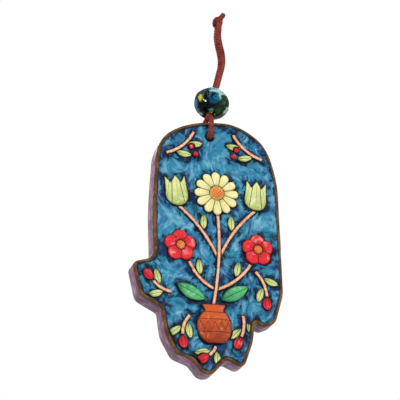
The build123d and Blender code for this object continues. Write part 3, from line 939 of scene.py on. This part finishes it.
def cordRoute(side):
    # side is -1 for the strand in front and 1 for the one behind
    look = cordLook
    route = [(x, -side * y, z) for x, y, z in look["low"]]
    route += [(x - side * part, side * look["pair"], z) for x, z, part in look["upper"]]
    lean = math.radians(look["knotLean"])
    up = Vector((math.sin(lean), 0, math.cos(lean)))
    right = Vector((math.cos(lean), 0, -math.sin(lean)))
    knot = Vector((look["knot"][0], 0, look["knot"][1]))
    if side < 0:
        # the cord runs into its first turn, and out of its last, in an easy bend
        steps = look["turns"] * look["turnPoints"]
        for i in [0, *range(2, steps - 1), steps]:
            turn = 2 * math.pi * i / look["turnPoints"]
            rise = up * (look["turnRise"] * (i / steps - 0.5))
            at = knot + rise + right * (math.sin(turn) * look["turnWide"])
            route.append(tuple(at - Vector((0, math.cos(turn) * look["turnDeep"], 0))))
    else:
        route.append(tuple(knot + Vector((0, look["knotBack"], 0))))
    lean = math.radians(look["tailLean"])
    way = Vector((math.sin(lean), 0, math.cos(lean)))
    length = look["tailLength"] - (look["tailStep"] if side > 0 else 0)
    for share, apart in look["tailPoints"]:
        route.append(tuple(knot + way * (length * share) + Vector((0, side * look["pair"] * apart, 0))))
    return [holeCentre + Vector(p) * mm for p in route]


def smoothLine(name, route):
    # the points of the route's own smooth curve, read from a spline with no bevel
    curve = bpy.data.curves.new(name, "CURVE")
    curve.dimensions = "3D"
    curve.resolution_u = cordLook["curveSteps"]
    spline = curve.splines.new("NURBS")
    spline.points.add(len(route) - 1)
    for point, at in zip(spline.points, route):
        point.co = (*at, 1)
    spline.order_u = cordLook["curveOrder"]
    spline.use_endpoint_u = True
    holder = bpy.data.objects.new(name, curve)
    mesh = bpy.data.meshes.new_from_object(holder)
    line = [v.co.copy() for v in mesh.vertices]
    bpy.data.objects.remove(holder)
    bpy.data.curves.remove(curve)
    bpy.data.meshes.remove(mesh)
    return line


def evenly(line, step):
    runs = [0.0]
    for before, after in zip(line, line[1:]):
        runs.append(runs[-1] + (after - before).length)
    count = max(2, round(runs[-1] / step))
    marks = np.linspace(0, runs[-1], count + 1)
    flat = np.array([tuple(p) for p in line])
    spaced = np.stack([np.interp(marks, runs, flat[:, k]) for k in range(3)], axis=1)
    return [Vector(p) for p in spaced], runs[-1]


def strandSkin(name, line, length, side):
    # a tube of twisted plies along the line, rounded off at its far end
    look = cordLook
    count, sides = len(line), look["sides"]
    across = Vector((1, 0, 0))
    places, along, around, ply = [], [], [], []
    for i, centre in enumerate(line):
        way = (line[min(i + 1, count - 1)] - line[max(i - 1, 0)]).normalized()
        across = (across - way * across.dot(way)).normalized()
        other = way.cross(across)
        run = length * i / (count - 1) / mm
        left = length / mm - run
        taper = math.sqrt(max(1 - max(1 - left / look["endRound"], 0) ** 2, look["endLeast"]))
        for j in range(sides):
            turn = 2 * math.pi * j / sides
            strand = math.cos(look["plies"] * (turn + run * 2 * math.pi / look["plyTurn"]))
            at = (run * look["fuzzAlong"], math.cos(turn) * look["fuzzAround"],
                  math.sin(turn) * look["fuzzAround"] + side * look["fuzzApart"])
            fuzz = look["fuzz"] * noise.noise(Vector(at))
            radius = (look["shown"] / 2 - look["plyDepth"] * (0.5 - 0.5 * strand) + fuzz) * mm * taper
            places.append(centre + (across * math.cos(turn) + other * math.sin(turn)) * radius)
            along.append(run / look["shown"])
            around.append(j / sides)
            ply.append(0.5 + 0.5 * strand)
    faces = []
    for i in range(count - 1):
        for j in range(sides):
            k = (j + 1) % sides
            faces.append((i * sides + j, i * sides + k, (i + 1) * sides + k, (i + 1) * sides + j))
    faces.append(tuple(reversed(range(sides))))
    faces.append(tuple((count - 1) * sides + j for j in range(sides)))
    mesh = bpy.data.meshes.new(name)
    mesh.from_pydata(places, [], faces)
    piece = newObject(name, mesh)
    keep(piece, along=along, around=around, ply=ply)
    editAll(piece)
    bpy.ops.mesh.normals_make_consistent(inside=False)
    setMode("OBJECT")
    return piece


def makeStrand(name, side, replaced):
    look = cordLook
    line, length = evenly(smoothLine(name + "Route", cordRoute(side)), look["step"] * mm)
    piece = strandSkin(name, line, length, side)
    finishPiece(piece, cottonCord, None, "cord", *replaced)
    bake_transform(piece)
    print(name, "length", round(length, 4), "m")


cottonCord = cordMaterial()
makeStrand("cordFrontHalf", -1, ("cord_front", "top_knot", "tail_front", "cord_loop"))
makeStrand("cordBackHalf", 1, ("cord_back", "tail_back"))


# Floor, light and camera, in metres
stageLook = {
    "floorDrop": 0.42, "floorSize": 6.0, "floor": 0.9, "floorGrain": (60, 3), "floorFleck": 0.02,
    "floorRough": 0.9, "floorSpecular": 0.1, "floorGlow": 0.42, "ambient": 0.55,
    # name, place, size and power of the lamps, all aimed at the plaque; the spark only glints on the bead
    "lamps": [("keyLamp", (-0.7, -1.1, 0.9), 0.7, 16.0), ("fillLamp", (1.1, -1.2, 0.1), 1.0, 8.0),
              ("backLamp", (0.4, 1.3, 0.8), 0.9, 8.0), ("sparkLamp", (-1.02, -0.56, -0.3), 0.18, 45.0)],
    "aim": (-0.0128, 0, -0.0855), "spark": "sparkLamp",
}


def seenRays(tree):
    # 1 for what the camera sees, in gloss and through glass too
    rays = place(tree, "ShaderNodeLightPath").outputs
    seen = plus(tree, rays["Is Camera Ray"], rays["Is Glossy Ray"])
    return math2(tree, "ADD", seen, rays["Is Transmission Ray"], True)


def makeFloor():
    look = stageLook
    deselectAll()
    bpy.ops.mesh.primitive_plane_add(size=look["floorSize"], location=(0, 0, -look["floorDrop"]))
    floor = bpy.context.object
    floor.name = "studioFloor"
    bpy.ops.object.transform_apply(location=True)
    material, tree, shader, coords = newMaterial("studioPaper")
    light, dark = look["floor"], look["floor"] - look["floorFleck"]
    grain = cloud(tree, coords, *look["floorGrain"])
    wire(tree, shader, {
        "Base Color": blend(tree, grain, (light, light, light), (dark, dark, dark)),
        "Roughness": look["floorRough"], "Specular IOR Level": look["floorSpecular"],
        "Emission Color": (1, 1, 1), "Emission Strength": times(tree, seenRays(tree), look["floorGlow"]),
    })
    floor.data.materials.append(material)


def makeLamps():
    look = stageLook
    for name, at, size, power in look["lamps"]:
        lamp = bpy.data.lights.new(name, "AREA")
        lamp.size = size
        lamp.energy = power
        holder = newObject(name, lamp)
        holder.location = at
        holder.rotation_euler = (Vector(look["aim"]) - Vector(at)).to_track_quat("-Z", "Y").to_euler()
        if name == look["spark"]:
            glossy = bpy.data.collections.new("sparkLit")
            glossy.objects.link(glazedBead)
            holder.light_linking.receiver_collection = glossy
            holder.visible_diffuse = False


def makeBackdrop():
    look = stageLook
    world = bpy.data.worlds.new("whiteStudio")
    bpy.context.scene.world = world
    world.use_nodes = True
    tree = world.node_tree
    backdrop = tree.nodes["Background"]
    # white where it is seen, and softer as light
    strength = plus(tree, times(tree, seenRays(tree), 1 - look["ambient"]), look["ambient"])
    wire(tree, backdrop, {"Color": (1, 1, 1), "Strength": strength})
    print("floor, lamps and white background")


def makeCamera():
    look = cameraLook
    right, up, back = photoAxes()
    camera = bpy.data.cameras.new("photoCamera")
    camera.sensor_width = look["sensor"]
    camera.lens = camera.sensor_width * look["distance"] / look["across"]
    camera.clip_start = look["clipStart"]
    holder = newObject("photoCamera", camera)
    turn = Matrix((right, up, back)).transposed().to_4x4()
    holder.matrix_world = Matrix.Translation(Vector(look["target"]) + back * look["distance"]) @ turn
    bpy.context.scene.camera = holder
    bpy.context.scene.view_settings.view_transform = "Standard"
    print("camera", tuple(round(x, 4) for x in holder.location), "lens", round(camera.lens, 1))


makeFloor()
makeLamps()
makeBackdrop()
makeCamera()
